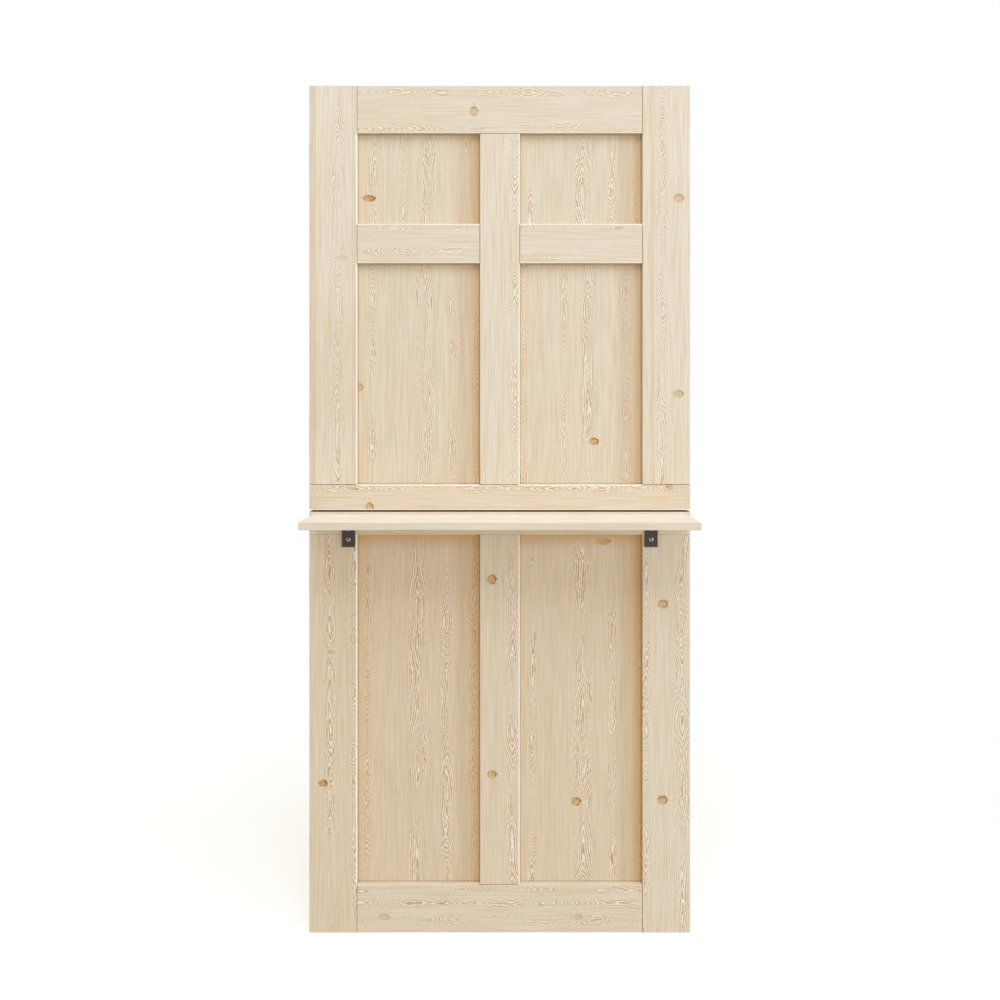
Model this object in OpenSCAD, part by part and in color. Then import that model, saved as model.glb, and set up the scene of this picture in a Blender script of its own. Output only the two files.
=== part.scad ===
// Two-leaf stable door in solid pine: a framed and panelled upper leaf and lower leaf,
// a serving shelf on two steel brackets, and a pair of butt hinges on each leaf.
// X runs to the right, the front face looks along -Y and Z is up. The origin is at the
// middle of the lower leaf's bottom edge, half way through its thickness.

/* [Door] */
// Width of both leaves
door_w = 914.4; // [760:0.1:1070]
// Height from the foot of the lower leaf to the head of the upper leaf
door_h = 2032; // [1900:0.5:2300]
// Thickness of the stiles and rails
door_t = 35; // [32:0.5:50]
// Height of the lower leaf
lower_h = 1009.5; // [900:0.5:1100]
// Gap between the two leaves
meeting_gap = 4; // [2:0.1:8]

/* [Stiles and rails] */
// Width of the four stiles
stile_w = 114.3; // [95:0.1:140]
// Width of the two mullions
mullion_w = 95.25; // [85:0.05:120]
// Height of the rail at the head of the upper leaf
top_rail_h = 114.3; // [80:0.1:150]
// Height of the two short rails below the top panels
cross_rail_h = 95.25; // [75:0.05:120]
// Height of the openings for the top panels
top_panel_h = 217; // [150:0.5:300]
// Height of the full-width rail at the foot of the upper leaf
meeting_rail_h = 61; // [50:0.5:90]
// Height of the full-width rail at the head of the lower leaf
cap_rail_h = 55; // [50:0.5:90]
// Height of the rail at the foot of the lower leaf
bottom_rail_h = 114.3; // [80:0.1:200]
// Radius that eases the long edges of the boards
edge_ease = 1.5; // [0.5:0.1:3]

/* [Panels and joints] */
// Thickness of the flat panels
panel_t = 11; // [8:0.5:14]
// Depth of the grooves that hold the panels and the tongues
groove_depth = 10; // [6:0.5:14]
// Clearance on each face of a panel in its groove
panel_fit = 0.15; // [0.05:0.05:0.4]
// Room for a panel to swell at the bottom of a groove
panel_float = 0.9; // [0.3:0.1:3]
// Clearance on each face of a tongue in its groove
tongue_fit = 0.1; // [0.05:0.05:0.3]
// Clearance at the end of a tongue
tongue_end_gap = 0.5; // [0.2:0.1:1]
// Diameter of the joint dowels
dowel_d = 8; // [6:0.5:9]
// Length of the joint dowels
dowel_l = 70; // [40:1:76]
// Spacing of the two dowels in a joint
dowel_pitch = 44; // [30:1:50]
// Radial clearance of a dowel in its bore
dowel_fit = 0.1; // [0.05:0.05:0.3]
// Room for glue at each end of a dowel
dowel_end_gap = 1; // [0.5:0.1:3]

/* [Shelf] */
// Width of the shelf board
shelf_w = 890; // [700:1:900]
// Depth of the shelf board from the door's face
shelf_depth = 140; // [100:1:220]
// Thickness of the shelf board
shelf_t = 17.5; // [15:0.5:28]
// How far the shelf's top lies below the head of the lower leaf
shelf_drop = 4.7; // [0:0.1:15]

/* [Brackets] */
// Width of a bracket
bracket_w = 31; // [20:0.5:50]
// Length of both legs of a bracket
bracket_leg = 62; // [55:0.5:90]
// Thickness of the bracket's steel
bracket_t = 3; // [2:0.1:5]
// Inside radius of the bend
bracket_bend = 2; // [1:0.1:5]
// From the stile's inner edge to the middle of a bracket
bracket_inset = 20; // [18:0.5:50]
// From the corner to the near screw on each leg
bracket_hole_near = 18; // [16:0.5:24]
// From the corner to the far screw on each leg
bracket_hole_far = 43.5; // [34:0.5:48]
// Diameter of the bracket screws
bracket_screw_d = 5; // [3.5:0.1:6]
// Diameter of the domed heads
bracket_head_d = 11; // [8:0.1:13]
// Height of the domed heads
bracket_head_h = 2.8; // [2:0.1:4]
// Width across the flats of the hexagonal socket
socket_af = 4; // [2.5:0.1:5]
// Depth of the socket
socket_depth = 1.7; // [1:0.1:2]
// Radial clearance of a bracket screw in its holes
bracket_screw_fit = 0.2; // [0.1:0.05:0.5]
// How far the door screws reach into the wood
door_screw_bite = 16; // [10:0.5:20]
// Wood left above the shelf screws
shelf_skin = 5; // [3:0.5:10]

/* [Hinges] */
// Height of a hinge
hinge_h = 89; // [70:1:110]
// From a leaf's end to the middle of a hinge
hinge_inset = 180; // [130:1:300]
// Gap between a leaf's edge and the jamb
jamb_gap = 2; // [1.6:0.1:4]
// Thickness of a hinge plate
plate_t = 2.2; // [2:0.1:3.5]
// From the front face to the near edge of a hinge plate
plate_backset = 16; // [6:0.5:17]
// Outside diameter of the barrel
barrel_d = 11; // [9:0.1:14]
// Clearance from the barrel to the back face
barrel_air = 0.5; // [0.4:0.1:2]
// Diameter of the hinge pin
pin_d = 6.4; // [5:0.1:7]
// Radial clearance of the pin in the knuckles
pin_fit = 0.05; // [0.02:0.01:0.1]
// Gap between neighbouring knuckles
knuckle_gap = 0.3; // [0.2:0.05:0.6]
// Height of the pin's button head
pin_head_h = 3; // [2:0.1:5]
// How far the pin stands out below the barrel
pin_tip = 2; // [1:0.1:4]
// Clearance round a hinge plate in its recess
recess_fit = 0.2; // [0.1:0.05:0.5]
// Spacing of the screws in a hinge plate
hinge_screw_pitch = 30; // [22:0.5:32]
// Diameter of the hinge screws
hinge_screw_d = 4.2; // [3.5:0.1:5]
// Diameter of the flat heads
hinge_head_d = 8; // [7:0.1:9]
// Depth of the countersink
countersink = 1.6; // [1.2:0.1:1.8]
// Length of the hinge screws
hinge_screw_l = 30; // [20:0.5:40]
// Radial clearance of a hinge screw in its holes
hinge_screw_fit = 0.1; // [0.05:0.05:0.3]
// Diameter of the screw holes in the jamb plates
jamb_hole_d = 5; // [4.8:0.1:5.5]

/* [Hidden] */

$fn = 48;
pine = "#dcc6a0";
pale_pine = "#e3d1b0";
black_steel = "#34343a";
zinc = "#b9bbbd";
satin_steel = "#a9a9a8";

left = -1;
right = 1;
cut = 1; // how far a cutting shape runs past the surface that it cuts

// Heights of the two leaves and of their rails
upper_foot = lower_h + meeting_gap;
meeting_top = upper_foot + meeting_rail_h;
top_rail_foot = door_h - top_rail_h;
cross_rail_top = top_rail_foot - top_panel_h;
cross_rail_foot = cross_rail_top - cross_rail_h;
cap_foot = lower_h - cap_rail_h;

// Widths across the door
stile_x = door_w / 2 - stile_w / 2;
stile_inner = door_w / 2 - stile_w;
mullion_edge = mullion_w / 2;
opening_w = stile_inner - mullion_edge;
opening_x = (stile_inner + mullion_edge) / 2;
front_y = -door_t / 2;
back_y = door_t / 2;

// Grooves, tongues and panels
groove_w = panel_t + 2 * panel_fit;
tongue_t = groove_w - 2 * tongue_fit;
tongue_l = groove_depth - tongue_end_gap;
panel_reach = groove_depth - panel_float;

// Shelf and brackets
shelf_top = lower_h - shelf_drop;
shelf_foot = shelf_top - shelf_t;
bracket_x = stile_inner + bracket_inset;
bend_outer = bracket_bend + bracket_t;
bracket_holes = [bracket_hole_near, bracket_hole_far];
bracket_bore_d = bracket_screw_d + 2 * bracket_screw_fit;

// Hinges
pin_x = -door_w / 2 - jamb_gap / 2;
pin_y = back_y + barrel_air + barrel_d / 2;
plate_front = front_y + plate_backset - pin_y;
plate_back = back_y - pin_y;
plate_mid = (plate_front + plate_back) / 2;
knuckles = 5;
knuckle_h = (hinge_h - (knuckles - 1) * knuckle_gap) / knuckles;
knuckle_bore_d = pin_d + 2 * pin_fit;
hinge_screw_rows = [-1, 0, 1];
recess_cross_w = 1.1;
recess_cross_l = 4.4;
recess_cross_depth = 1.1;

upper_hinge_z = [door_h - hinge_inset, upper_foot + hinge_inset];
lower_hinge_z = [lower_h - hinge_inset, hinge_inset];

// Joint dowels as [centre, direction]. A joint's two dowels lie across its shoulder.
function pair(mid) = [mid - dowel_pitch / 2, mid + dowel_pitch / 2];
function level_dowels(xs, z_mid) = [for (x = xs, z = pair(z_mid)) [[x, 0, z], [0, 90, 0]]];
function upright_dowels(x_mids, zs) =
    [for (m = x_mids, x = pair(m), z = zs) [[x, 0, z], [0, 0, 0]]];

upper_dowel_list = concat(
    level_dowels([-stile_inner, stile_inner], door_h - top_rail_h / 2),
    level_dowels([-stile_inner, -mullion_edge, mullion_edge, stile_inner],
        (cross_rail_top + cross_rail_foot) / 2),
    upright_dowels([-stile_x, 0, stile_x], [meeting_top]),
    upright_dowels([0], [top_rail_foot]));
lower_dowel_list = concat(
    level_dowels([-stile_inner, stile_inner], bottom_rail_h / 2),
    upright_dowels([-stile_x, 0, stile_x], [cap_foot]),
    upright_dowels([0], [bottom_rail_h]));

// Shapes that the pieces share

// Section of a board with eased edges, width along X and thickness along Y
module eased_section(width, thickness) {
    square([width - 2 * edge_ease, thickness], center = true);
    square([width, thickness - 2 * edge_ease], center = true);
    for (sx = [left, right], sy = [left, right])
        translate([sx * (width / 2 - edge_ease), sy * (thickness / 2 - edge_ease)])
            circle(edge_ease);
}

// Board that stands on z = 0, with grooved edges on the listed sides and a tongue at either end
module framing_board(length, width, grooved, foot_tongue, head_tongue) {
    foot = foot_tongue ? -tongue_l : 0;
    head = length + (head_tongue ? tongue_l : 0);
    difference() {
        union() {
            linear_extrude(length) eased_section(width, door_t);
            translate([-width / 2, -tongue_t / 2, foot]) cube([width, tongue_t, head - foot]);
        }
        for (side = grooved)
            translate([side * (width / 2 - groove_depth / 2), 0, (foot + head) / 2])
                translate([side * cut / 2, 0, 0])
                    cube([groove_depth + cut, groove_w, head - foot + 2 * cut], center = true);
    }
}

// Upright board centred on x, from foot to head
module upright(x, foot, head, width, grooved, foot_tongue, head_tongue)
    translate([x, 0, foot])
        framing_board(head - foot, width, grooved, foot_tongue, head_tongue);

// Level board from x0 to x1. A groove on its left side ends up on top, one on its right below.
module level(x0, x1, foot, head, grooved, tongued)
    translate([x0, 0, (foot + head) / 2])
        rotate([0, 90, 0])
            framing_board(x1 - x0, head - foot, grooved, tongued, tongued);

module dowel_bores(list)
    for (d = list)
        translate(d[0]) rotate(d[1])
            cylinder(h = dowel_l + 2 * dowel_end_gap, d = dowel_d + 2 * dowel_fit, center = true);

module dowels(list)
    for (d = list)
        translate(d[0]) rotate(d[1])
            cylinder(h = dowel_l, d = dowel_d, center = true);

// Flat panel in the opening on one side of the mullion, let into the grooves all round
module panel(side, foot, head)
    color(pale_pine)
        translate([side * opening_x, 0, (foot + head) / 2])
            cube([opening_w + 2 * panel_reach, panel_t, head - foot + 2 * panel_reach],
                center = true);

// Hinge shapes, in a frame with the pin along Z and the leaf's edge on the right

module at_hinge(z)
    translate([pin_x, pin_y, z]) children();

// Knuckles with the given numbers, counted up from the bottom
module each_knuckle(numbers)
    for (i = numbers)
        translate([0, 0, -hinge_h / 2 + i * (knuckle_h + knuckle_gap)]) children();

// Countersunk hole or screw outline along -X to +X: the head's flat side is at x = 0
module countersunk(head_d, shank_d, length)
    rotate([0, 90, 0])
        rotate_extrude()
            polygon([[0, 0], [head_d / 2, 0], [shank_d / 2, countersink],
                [shank_d / 2, length], [0, length]]);

// One hinge plate with its knuckles; side +1 goes on the leaf, -1 on the jamb
module hinge_plate(side, numbers, hole_d) {
    face = side * jamb_gap / 2;
    mid = face + side * plate_t / 2;
    color(satin_steel)
        difference() {
            union() {
                translate([mid, plate_mid, 0])
                    cube([plate_t, plate_back - plate_front, hinge_h], center = true);
                each_knuckle(numbers) {
                    cylinder(h = knuckle_h, d = barrel_d);
                    translate([mid - plate_t / 2, plate_mid, 0])
                        cube([plate_t, -plate_mid, knuckle_h]);
                }
            }
            cylinder(h = hinge_h + 2 * cut, d = knuckle_bore_d, center = true);
            for (row = hinge_screw_rows)
                translate([face, plate_mid, row * hinge_screw_pitch])
                    mirror([side == left ? 1 : 0, 0, 0])
                        countersunk(hinge_head_d + 2 * hinge_screw_fit, hole_d, plate_t + cut);
        }
}

module door_plate(z)
    at_hinge(z) hinge_plate(right, [1, 3], hinge_screw_d + 2 * hinge_screw_fit);

module jamb_plate(z) at_hinge(z) hinge_plate(left, [0, 2, 4], jamb_hole_d);

// Pin with a low domed head that rests on the top knuckle
module hinge_pin(z)
    color(satin_steel)
        at_hinge(z) {
            translate([0, 0, -hinge_h / 2 - pin_tip]) cylinder(h = hinge_h + pin_tip, d = pin_d);
            translate([0, 0, hinge_h / 2]) dome(barrel_d, pin_head_h);
        }

// Cap of a ball that is d across and h high
module dome(d, h) {
    ball = (d * d / 4 + h * h) / (2 * h);
    intersection() {
        translate([0, 0, h - ball]) sphere(ball);
        cylinder(h = h, d = d);
    }
}

// Recesses and screw holes that a leaf's hinges need in its left stile
module hinge_seats(zs)
    for (z = zs)
        at_hinge(z) {
            translate([jamb_gap / 2 - cut, plate_front - recess_fit, -hinge_h / 2 - recess_fit])
                cube([plate_t + cut, -plate_front + recess_fit, hinge_h + 2 * recess_fit]);
            at_hinge_screws()
                countersunk(hinge_head_d, hinge_screw_d + 2 * hinge_screw_fit,
                    hinge_screw_l + dowel_end_gap);
        }

module at_hinge_screws()
    for (row = hinge_screw_rows)
        translate([jamb_gap / 2, plate_mid, row * hinge_screw_pitch]) children();

module hinge_screws(zs)
    color(satin_steel)
        for (z = zs)
            at_hinge(z) at_hinge_screws()
                difference() {
                    countersunk(hinge_head_d, hinge_screw_d, hinge_screw_l);
                    for (turn = [0, 90])
                        rotate([turn, 0, 0])
                            cube([2 * recess_cross_depth, recess_cross_l, recess_cross_w],
                                center = true);
                }

// Bracket shapes, in a frame where the door's face and the shelf's underside meet

module at_bracket(side)
    translate([side * bracket_x, front_y, shelf_foot]) children();

// Places children along each screw that goes into the door, pointing into the wood along +Z
module at_door_screws()
    for (drop = bracket_holes)
        translate([0, -bracket_t, -drop]) rotate([-90, 0, 0]) children();

// Places children along each screw that goes up into the shelf
module at_shelf_screws()
    for (reach = bracket_holes)
        translate([0, -reach, -bracket_t]) children();

module bracket_screw_bore(length)
    translate([0, 0, -cut]) cylinder(h = length + cut, d = bracket_bore_d);

// Domed screw with a hexagonal socket; its head rests on z = 0 and its shank runs up +Z
module domed_screw(length)
    difference() {
        union() {
            mirror([0, 0, 1]) dome(bracket_head_d, bracket_head_h);
            cylinder(h = length, d = bracket_screw_d);
        }
        translate([0, 0, -bracket_head_h - cut])
            cylinder(h = socket_depth + cut, d = socket_af / cos(30), $fn = 6);
    }

door_screw_l = bracket_t + door_screw_bite;
shelf_screw_l = bracket_t + shelf_t - shelf_skin;

// Bores for the bracket screws in whatever they pass through
module door_screw_bores()
    for (side = [left, right])
        at_bracket(side) at_door_screws() bracket_screw_bore(door_screw_l + dowel_end_gap);

module shelf_screw_bores()
    for (side = [left, right])
        at_bracket(side) at_shelf_screws() bracket_screw_bore(shelf_screw_l + dowel_end_gap);

// Angle section: one leg down the door and one out under the shelf, with a rounded bend
module angle_section() {
    translate([0, bend_outer]) square([bracket_t, bracket_leg - bend_outer]);
    translate([bend_outer, 0]) square([bracket_leg - bend_outer, bracket_t]);
    translate([bend_outer, bend_outer])
        intersection() {
            difference() {
                circle(bend_outer);
                circle(bracket_bend);
            }
            translate([-bend_outer, -bend_outer]) square(bend_outer);
        }
}

module bracket(side)
    color(black_steel)
        difference() {
            at_bracket(side)
                translate([bracket_w / 2, 0, 0])
                    rotate([0, 0, -90]) rotate([-90, 0, 0]) mirror([0, 0, 1])
                        linear_extrude(bracket_w) angle_section();
            at_bracket(side) {
                at_door_screws() bracket_screw_bore(bracket_t + cut);
                at_shelf_screws() bracket_screw_bore(bracket_t + cut);
            }
        }

// Upper leaf

module upper_left_stile()
    color(pine)
        difference() {
            upright(-stile_x, meeting_top, door_h, stile_w, [right], true, false);
            dowel_bores(upper_dowel_list);
            hinge_seats(upper_hinge_z);
        }

module upper_right_stile()
    color(pine)
        difference() {
            upright(stile_x, meeting_top, door_h, stile_w, [left], true, false);
            dowel_bores(upper_dowel_list);
        }

module upper_top_rail()
    color(pine)
        difference() {
            level(-stile_inner, stile_inner, top_rail_foot, door_h, [right], true);
            dowel_bores(upper_dowel_list);
        }

module upper_mullion()
    color(pine)
        difference() {
            upright(0, meeting_top, top_rail_foot, mullion_w, [left, right], true, true);
            dowel_bores(upper_dowel_list);
        }

module cross_rail(x0, x1)
    color(pine)
        difference() {
            level(x0, x1, cross_rail_foot, cross_rail_top, [left, right], true);
            dowel_bores(upper_dowel_list);
        }

module upper_left_cross_rail() cross_rail(-stile_inner, -mullion_edge);

module upper_right_cross_rail() cross_rail(mullion_edge, stile_inner);

module upper_meeting_rail()
    color(pine)
        difference() {
            level(-door_w / 2, door_w / 2, upper_foot, meeting_top, [left], false);
            dowel_bores(upper_dowel_list);
        }

module upper_top_left_panel() panel(left, cross_rail_top, top_rail_foot);

module upper_top_right_panel() panel(right, cross_rail_top, top_rail_foot);

module upper_main_left_panel() panel(left, meeting_top, cross_rail_foot);

module upper_main_right_panel() panel(right, meeting_top, cross_rail_foot);

module upper_dowels() color(pale_pine) dowels(upper_dowel_list);

// Lower leaf

module lower_left_stile()
    color(pine)
        difference() {
            upright(-stile_x, 0, cap_foot, stile_w, [right], false, true);
            dowel_bores(lower_dowel_list);
            hinge_seats(lower_hinge_z);
            door_screw_bores();
        }

module lower_right_stile()
    color(pine)
        difference() {
            upright(stile_x, 0, cap_foot, stile_w, [left], false, true);
            dowel_bores(lower_dowel_list);
            door_screw_bores();
        }

module lower_cap_rail()
    color(pine)
        difference() {
            level(-door_w / 2, door_w / 2, cap_foot, lower_h, [right], false);
            dowel_bores(lower_dowel_list);
            door_screw_bores();
        }

module lower_mullion()
    color(pine)
        difference() {
            upright(0, bottom_rail_h, cap_foot, mullion_w, [left, right], true, true);
            dowel_bores(lower_dowel_list);
        }

module lower_bottom_rail()
    color(pine)
        difference() {
            level(-stile_inner, stile_inner, 0, bottom_rail_h, [left], true);
            dowel_bores(lower_dowel_list);
        }

module lower_left_panel() panel(left, bottom_rail_h, cap_foot);

module lower_right_panel() panel(right, bottom_rail_h, cap_foot);

module lower_dowels() color(pale_pine) dowels(lower_dowel_list);

// Shelf with its brackets

module shelf_board()
    color(pine)
        difference() {
            translate([-shelf_w / 2, front_y - shelf_depth / 2, shelf_foot + shelf_t / 2])
                rotate([0, 90, 0]) linear_extrude(shelf_w) eased_section(shelf_t, shelf_depth);
            shelf_screw_bores();
        }

module left_bracket() bracket(left);

module right_bracket() bracket(right);

module bracket_door_screws()
    color(zinc)
        for (side = [left, right])
            at_bracket(side) at_door_screws() domed_screw(door_screw_l);

module bracket_shelf_screws()
    color(zinc)
        for (side = [left, right])
            at_bracket(side) at_shelf_screws() domed_screw(shelf_screw_l);

// Hinges

module upper_hinge_screws() hinge_screws(upper_hinge_z);

module lower_hinge_screws() hinge_screws(lower_hinge_z);

upper_left_stile();
upper_right_stile();
upper_top_rail();
upper_mullion();
upper_left_cross_rail();
upper_right_cross_rail();
upper_meeting_rail();
upper_top_left_panel();
upper_top_right_panel();
upper_main_left_panel();
upper_main_right_panel();
upper_dowels();
lower_left_stile();
lower_right_stile();
lower_cap_rail();
lower_mullion();
lower_bottom_rail();
lower_left_panel();
lower_right_panel();
lower_dowels();
shelf_board();
left_bracket();
right_bracket();
bracket_door_screws();
bracket_shelf_screws();
door_plate(upper_hinge_z[0]);  // upper_top_hinge_door_plate
jamb_plate(upper_hinge_z[0]);  // upper_top_hinge_jamb_plate
hinge_pin(upper_hinge_z[0]);  // upper_top_hinge_pin
door_plate(upper_hinge_z[1]);  // upper_bottom_hinge_door_plate
jamb_plate(upper_hinge_z[1]);  // upper_bottom_hinge_jamb_plate
hinge_pin(upper_hinge_z[1]);  // upper_bottom_hinge_pin
door_plate(lower_hinge_z[0]);  // lower_top_hinge_door_plate
jamb_plate(lower_hinge_z[0]);  // lower_top_hinge_jamb_plate
hinge_pin(lower_hinge_z[0]);  // lower_top_hinge_pin
door_plate(lower_hinge_z[1]);  // lower_bottom_hinge_door_plate
jamb_plate(lower_hinge_z[1]);  // lower_bottom_hinge_jamb_plate
hinge_pin(lower_hinge_z[1]);  // lower_bottom_hinge_pin
upper_hinge_screws();
lower_hinge_screws();
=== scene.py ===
from math import pi
from typing import NamedTuple

import bmesh
import bpy
from bpy.props import FloatProperty, FloatVectorProperty, PointerProperty
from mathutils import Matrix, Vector


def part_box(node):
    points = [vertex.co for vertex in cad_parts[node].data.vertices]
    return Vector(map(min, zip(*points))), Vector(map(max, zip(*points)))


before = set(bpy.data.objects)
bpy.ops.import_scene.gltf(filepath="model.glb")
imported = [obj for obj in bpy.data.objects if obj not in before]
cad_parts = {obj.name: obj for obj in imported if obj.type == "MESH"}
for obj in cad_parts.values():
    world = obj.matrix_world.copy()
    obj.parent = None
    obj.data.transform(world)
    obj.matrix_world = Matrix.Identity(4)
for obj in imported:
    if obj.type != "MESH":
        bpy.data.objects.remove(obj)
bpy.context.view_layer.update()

bl_info = {
    "name": "Pine stable door",
    "version": (1, 0, 0),
    "blender": (4, 5, 0),
    "location": "View3D > Sidebar > Stable Door",
    "description": "Finishes for a two-leaf pine stable door with a shelf, and the studio it stands in",
    "category": "Object",
}

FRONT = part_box("upper_left_stile")[0][1]
MM = 0.001
WHITE, BLACK = (1, 1, 1, 1), (0, 0, 0, 1)


def linear(code):
    """Linear RGBA of an sRGB hex colour."""
    parts = [int(code[i:i + 2], 16) / 255 for i in (1, 3, 5)]
    return tuple(c / 12.92 if c <= 0.04045 else ((c + 0.055) / 1.055) ** 2.4 for c in parts) + (1.0,)


def put(tree, kind, links=None, stops=(), **settings):
    """Adds one node with its settings; links gives each input a value or the socket that feeds it, and stops
    gives a colour ramp its positions and colours, in order."""
    made = tree.nodes.new(kind)
    for name, value in settings.items():
        setattr(made, name, value)
    for name, value in (links or {}).items():
        if isinstance(value, bpy.types.NodeSocket):
            tree.links.new(value, made.inputs[name])
        else:
            made.inputs[name].default_value = value
    for number, (position, colour) in enumerate(stops):
        elements = made.color_ramp.elements
        stop = elements[number] if number < len(elements) else elements.new(position)
        stop.position, stop.color = position, colour
    return made


def between(a, b, share):
    """Opaque colour a given share of the way from a to b."""
    return tuple(p + (q - p) * share for p, q in zip(a[:3], b[:3])) + (1.0,)


def empty_material(name):
    """A new material with no nodes yet."""
    made = bpy.data.materials.new(name)
    made.use_nodes = True
    made.node_tree.nodes.clear()
    return made


class DoorPine(bpy.types.PropertyGroup):
    """Colours and grain of the boards, and the colours of their painted shade and highlights"""
    cream: FloatVectorProperty(
        name="Cream", description="Sapwood of the palest boards", subtype="COLOR", size=4,
        min=0, max=1, default=linear("#e9ddc9"))
    rose: FloatVectorProperty(
        name="Rose", description="Faint pink zones of the palest boards", subtype="COLOR", size=4,
        min=0, max=1, default=linear("#e9dac4"))
    straw: FloatVectorProperty(
        name="Straw", description="Yellow zones of the palest boards", subtype="COLOR", size=4,
        min=0, max=1, default=linear("#e7d7bc"))
    honey: FloatVectorProperty(
        name="Honey", description="Tone that the warmest boards go towards", subtype="COLOR", size=4,
        min=0, max=1, default=linear("#d0b086"))
    blush: FloatVectorProperty(
        name="Blush", description="Pink zones of the warmest boards", subtype="COLOR", size=4,
        min=0, max=1, default=linear("#d6b589"))
    moss: FloatVectorProperty(
        name="Moss", description="Green-yellow zones of the warmest boards", subtype="COLOR", size=4,
        min=0, max=1, default=linear("#cfb588"))
    # The pale part of each growth ring, which is also the colour of the painted highlights on edges
    early_wood: FloatVectorProperty(
        name="Early wood", description="Pale part of each growth ring", subtype="COLOR", size=4,
        min=0, max=1, default=linear("#fef7ea"))
    # Also a colour of painted shade at the panels' margins, under the shelf and on the cap rail's top face
    late_wood: FloatVectorProperty(
        name="Late wood", description="Dark lines of the growth rings", subtype="COLOR", size=4,
        min=0, max=1, default=linear("#b6823f"))
    # Also the colour of painted shade at the panels' margins and heads and under the shelf
    knot: FloatVectorProperty(
        name="Knot", description="Middle of a knot", subtype="COLOR", size=4,
        min=0, max=1, default=linear("#dba95f"))
    knot_rim: FloatVectorProperty(
        name="Knot rim", description="Dark line round a knot", subtype="COLOR", size=4,
        min=0, max=1, default=linear("#9a6526"))
    # Dark butt joints, and painted shade in the grooves, under the rails and between the leaves
    seam: FloatVectorProperty(
        name="Seam", description="Dark line in joints and grooves and under rails", subtype="COLOR", size=4,
        min=0, max=1, default=linear("#6c4418"))
    ring_gap: FloatProperty(
        name="Ring spacing", description="Distance between growth rings", unit="LENGTH",
        min=0.001, max=0.02, default=5.4 * MM)
    fibre_gap: FloatProperty(
        name="Fibre spacing", description="Distance between streaks of fibre", unit="LENGTH",
        min=0.0005, max=0.01, default=2.4 * MM)


class DoorMetal(bpy.types.PropertyGroup):
    """Colours of the steel pieces"""
    # The bracket coat's colour is also the painted shade in the screws' drive recesses
    powder: FloatVectorProperty(
        name="Bracket coat", description="Black powder coat of the brackets", subtype="COLOR", size=4,
        min=0, max=1, default=linear("#39271a"))
    zinc: FloatVectorProperty(
        name="Zinc", description="Plating of the bracket screws", subtype="COLOR", size=4,
        min=0, max=1, default=linear("#a9aaa8"))
    steel: FloatVectorProperty(
        name="Hinge steel", description="Satin steel of the hinges", subtype="COLOR", size=4,
        min=0, max=1, default=linear("#bdbab4"))


class DoorStage(bpy.types.PropertyGroup):
    """Camera and studio light"""
    lens: FloatProperty(
        name="Lens", description="Focal length of the camera", unit="CAMERA",
        min=10, max=200, default=26)
    eye_height: FloatProperty(
        name="Eye height", description="Height of the camera above the floor", unit="LENGTH",
        min=0, max=5, default=1.2441)
    distance: FloatProperty(
        name="Distance", description="From the camera to the door's front face", unit="LENGTH",
        min=0.5, max=20, default=1.7332)
    side: FloatProperty(
        name="Side light", description="Power of the soft box far on the right", unit="POWER",
        min=0, max=20000, default=1140)
    top: FloatProperty(
        name="Top light", description="Power of the soft box above the front", unit="POWER",
        min=0, max=5000, default=560)
    overhead: FloatProperty(
        name="Overhead light", description="Power of the soft box straight above", unit="POWER",
        min=0, max=5000, default=50)
    back: FloatProperty(
        name="Back light", description="Power of the low soft box behind the door", unit="POWER",
        min=0, max=5000, default=500)
    room: FloatProperty(
        name="Room light", description="Strength of the even light all round", min=0, max=5, default=0.59)
    room_tint: FloatVectorProperty(
        name="Room tint", description="Colour of the even light", subtype="COLOR", size=4,
        min=0, max=1, default=linear("#ffe9cc"))
    lamp_tint: FloatVectorProperty(
        name="Lamp tint", description="Colour of the soft boxes", subtype="COLOR", size=3,
        min=0, max=1, default=linear("#d6ecff")[:3])


class Line(NamedTuple):
    """A line on a board, in mm: the way its place is measured, that place, its half width, its tint, how
    strong it is, the stretches the other way that it keeps to, if not all, and whether it is a soft band,
    which is on the front only."""
    way: str
    place: float
    reach: float
    tint: str
    depth: float
    spans: tuple = ()
    soft: bool = False


class Board(NamedTuple):
    """One board, in mm: its node, its axes as along, across and through the grain, how warm its tone is, its
    flat-sawn strips as (middle, half width) across, its knots as (across, along, half across, half along,
    depth of colour) and the lines on it."""
    node: str
    axes: str
    warmth: float
    strips: tuple
    knots: tuple = ()
    lines: tuple = ()


def butts(*places):
    """Dark lines where a board butts on another."""
    return tuple(Line("along", place, 1.3, "seam", 0.75) for place in places)


def painted_edge_highlight(spans, edge):
    """Painted highlight just inside a face's head or right edge, where its rounded edge catches the light."""
    return (Line("across", edge - 1.15, 1.1, "early_wood", 1.0, spans),)


def soffit(spans, foot, depth):
    """The foot of a rail over panels: a painted highlight on its rounded edge, and painted shade under it."""
    return (Line("across", foot + 2.1, 1.2, "early_wood", 0.4, spans),
            Line("across", foot, 0.6, "seam", depth, spans))


def band(way, place, reach, tint, depth):
    """A soft band of colour on the front of a board, used for painted shade and for tone."""
    return Line(way, place, reach, tint, depth, (), True)


def grooves(row, column, side=0.45):
    """Painted shade where a panel goes into the grooves round it: dark lines at its edges, and a warmer,
    darker tone at its margins and head.
    """
    (foot, head), (left, right) = row, column
    return (band("across", left, 40.0, "knot", 0.12), band("across", right, 44.0, "knot", side),
            band("across", right - 42, 30.0, "late_wood", 0.23), band("along", head, 12.0, "knot", 0.25),
            Line("along", foot, 3.0, "seam", 0.3), Line("across", left, 3.0, "seam", 0.3),
            Line("across", right, 3.0, "seam", 0.4))


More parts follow.
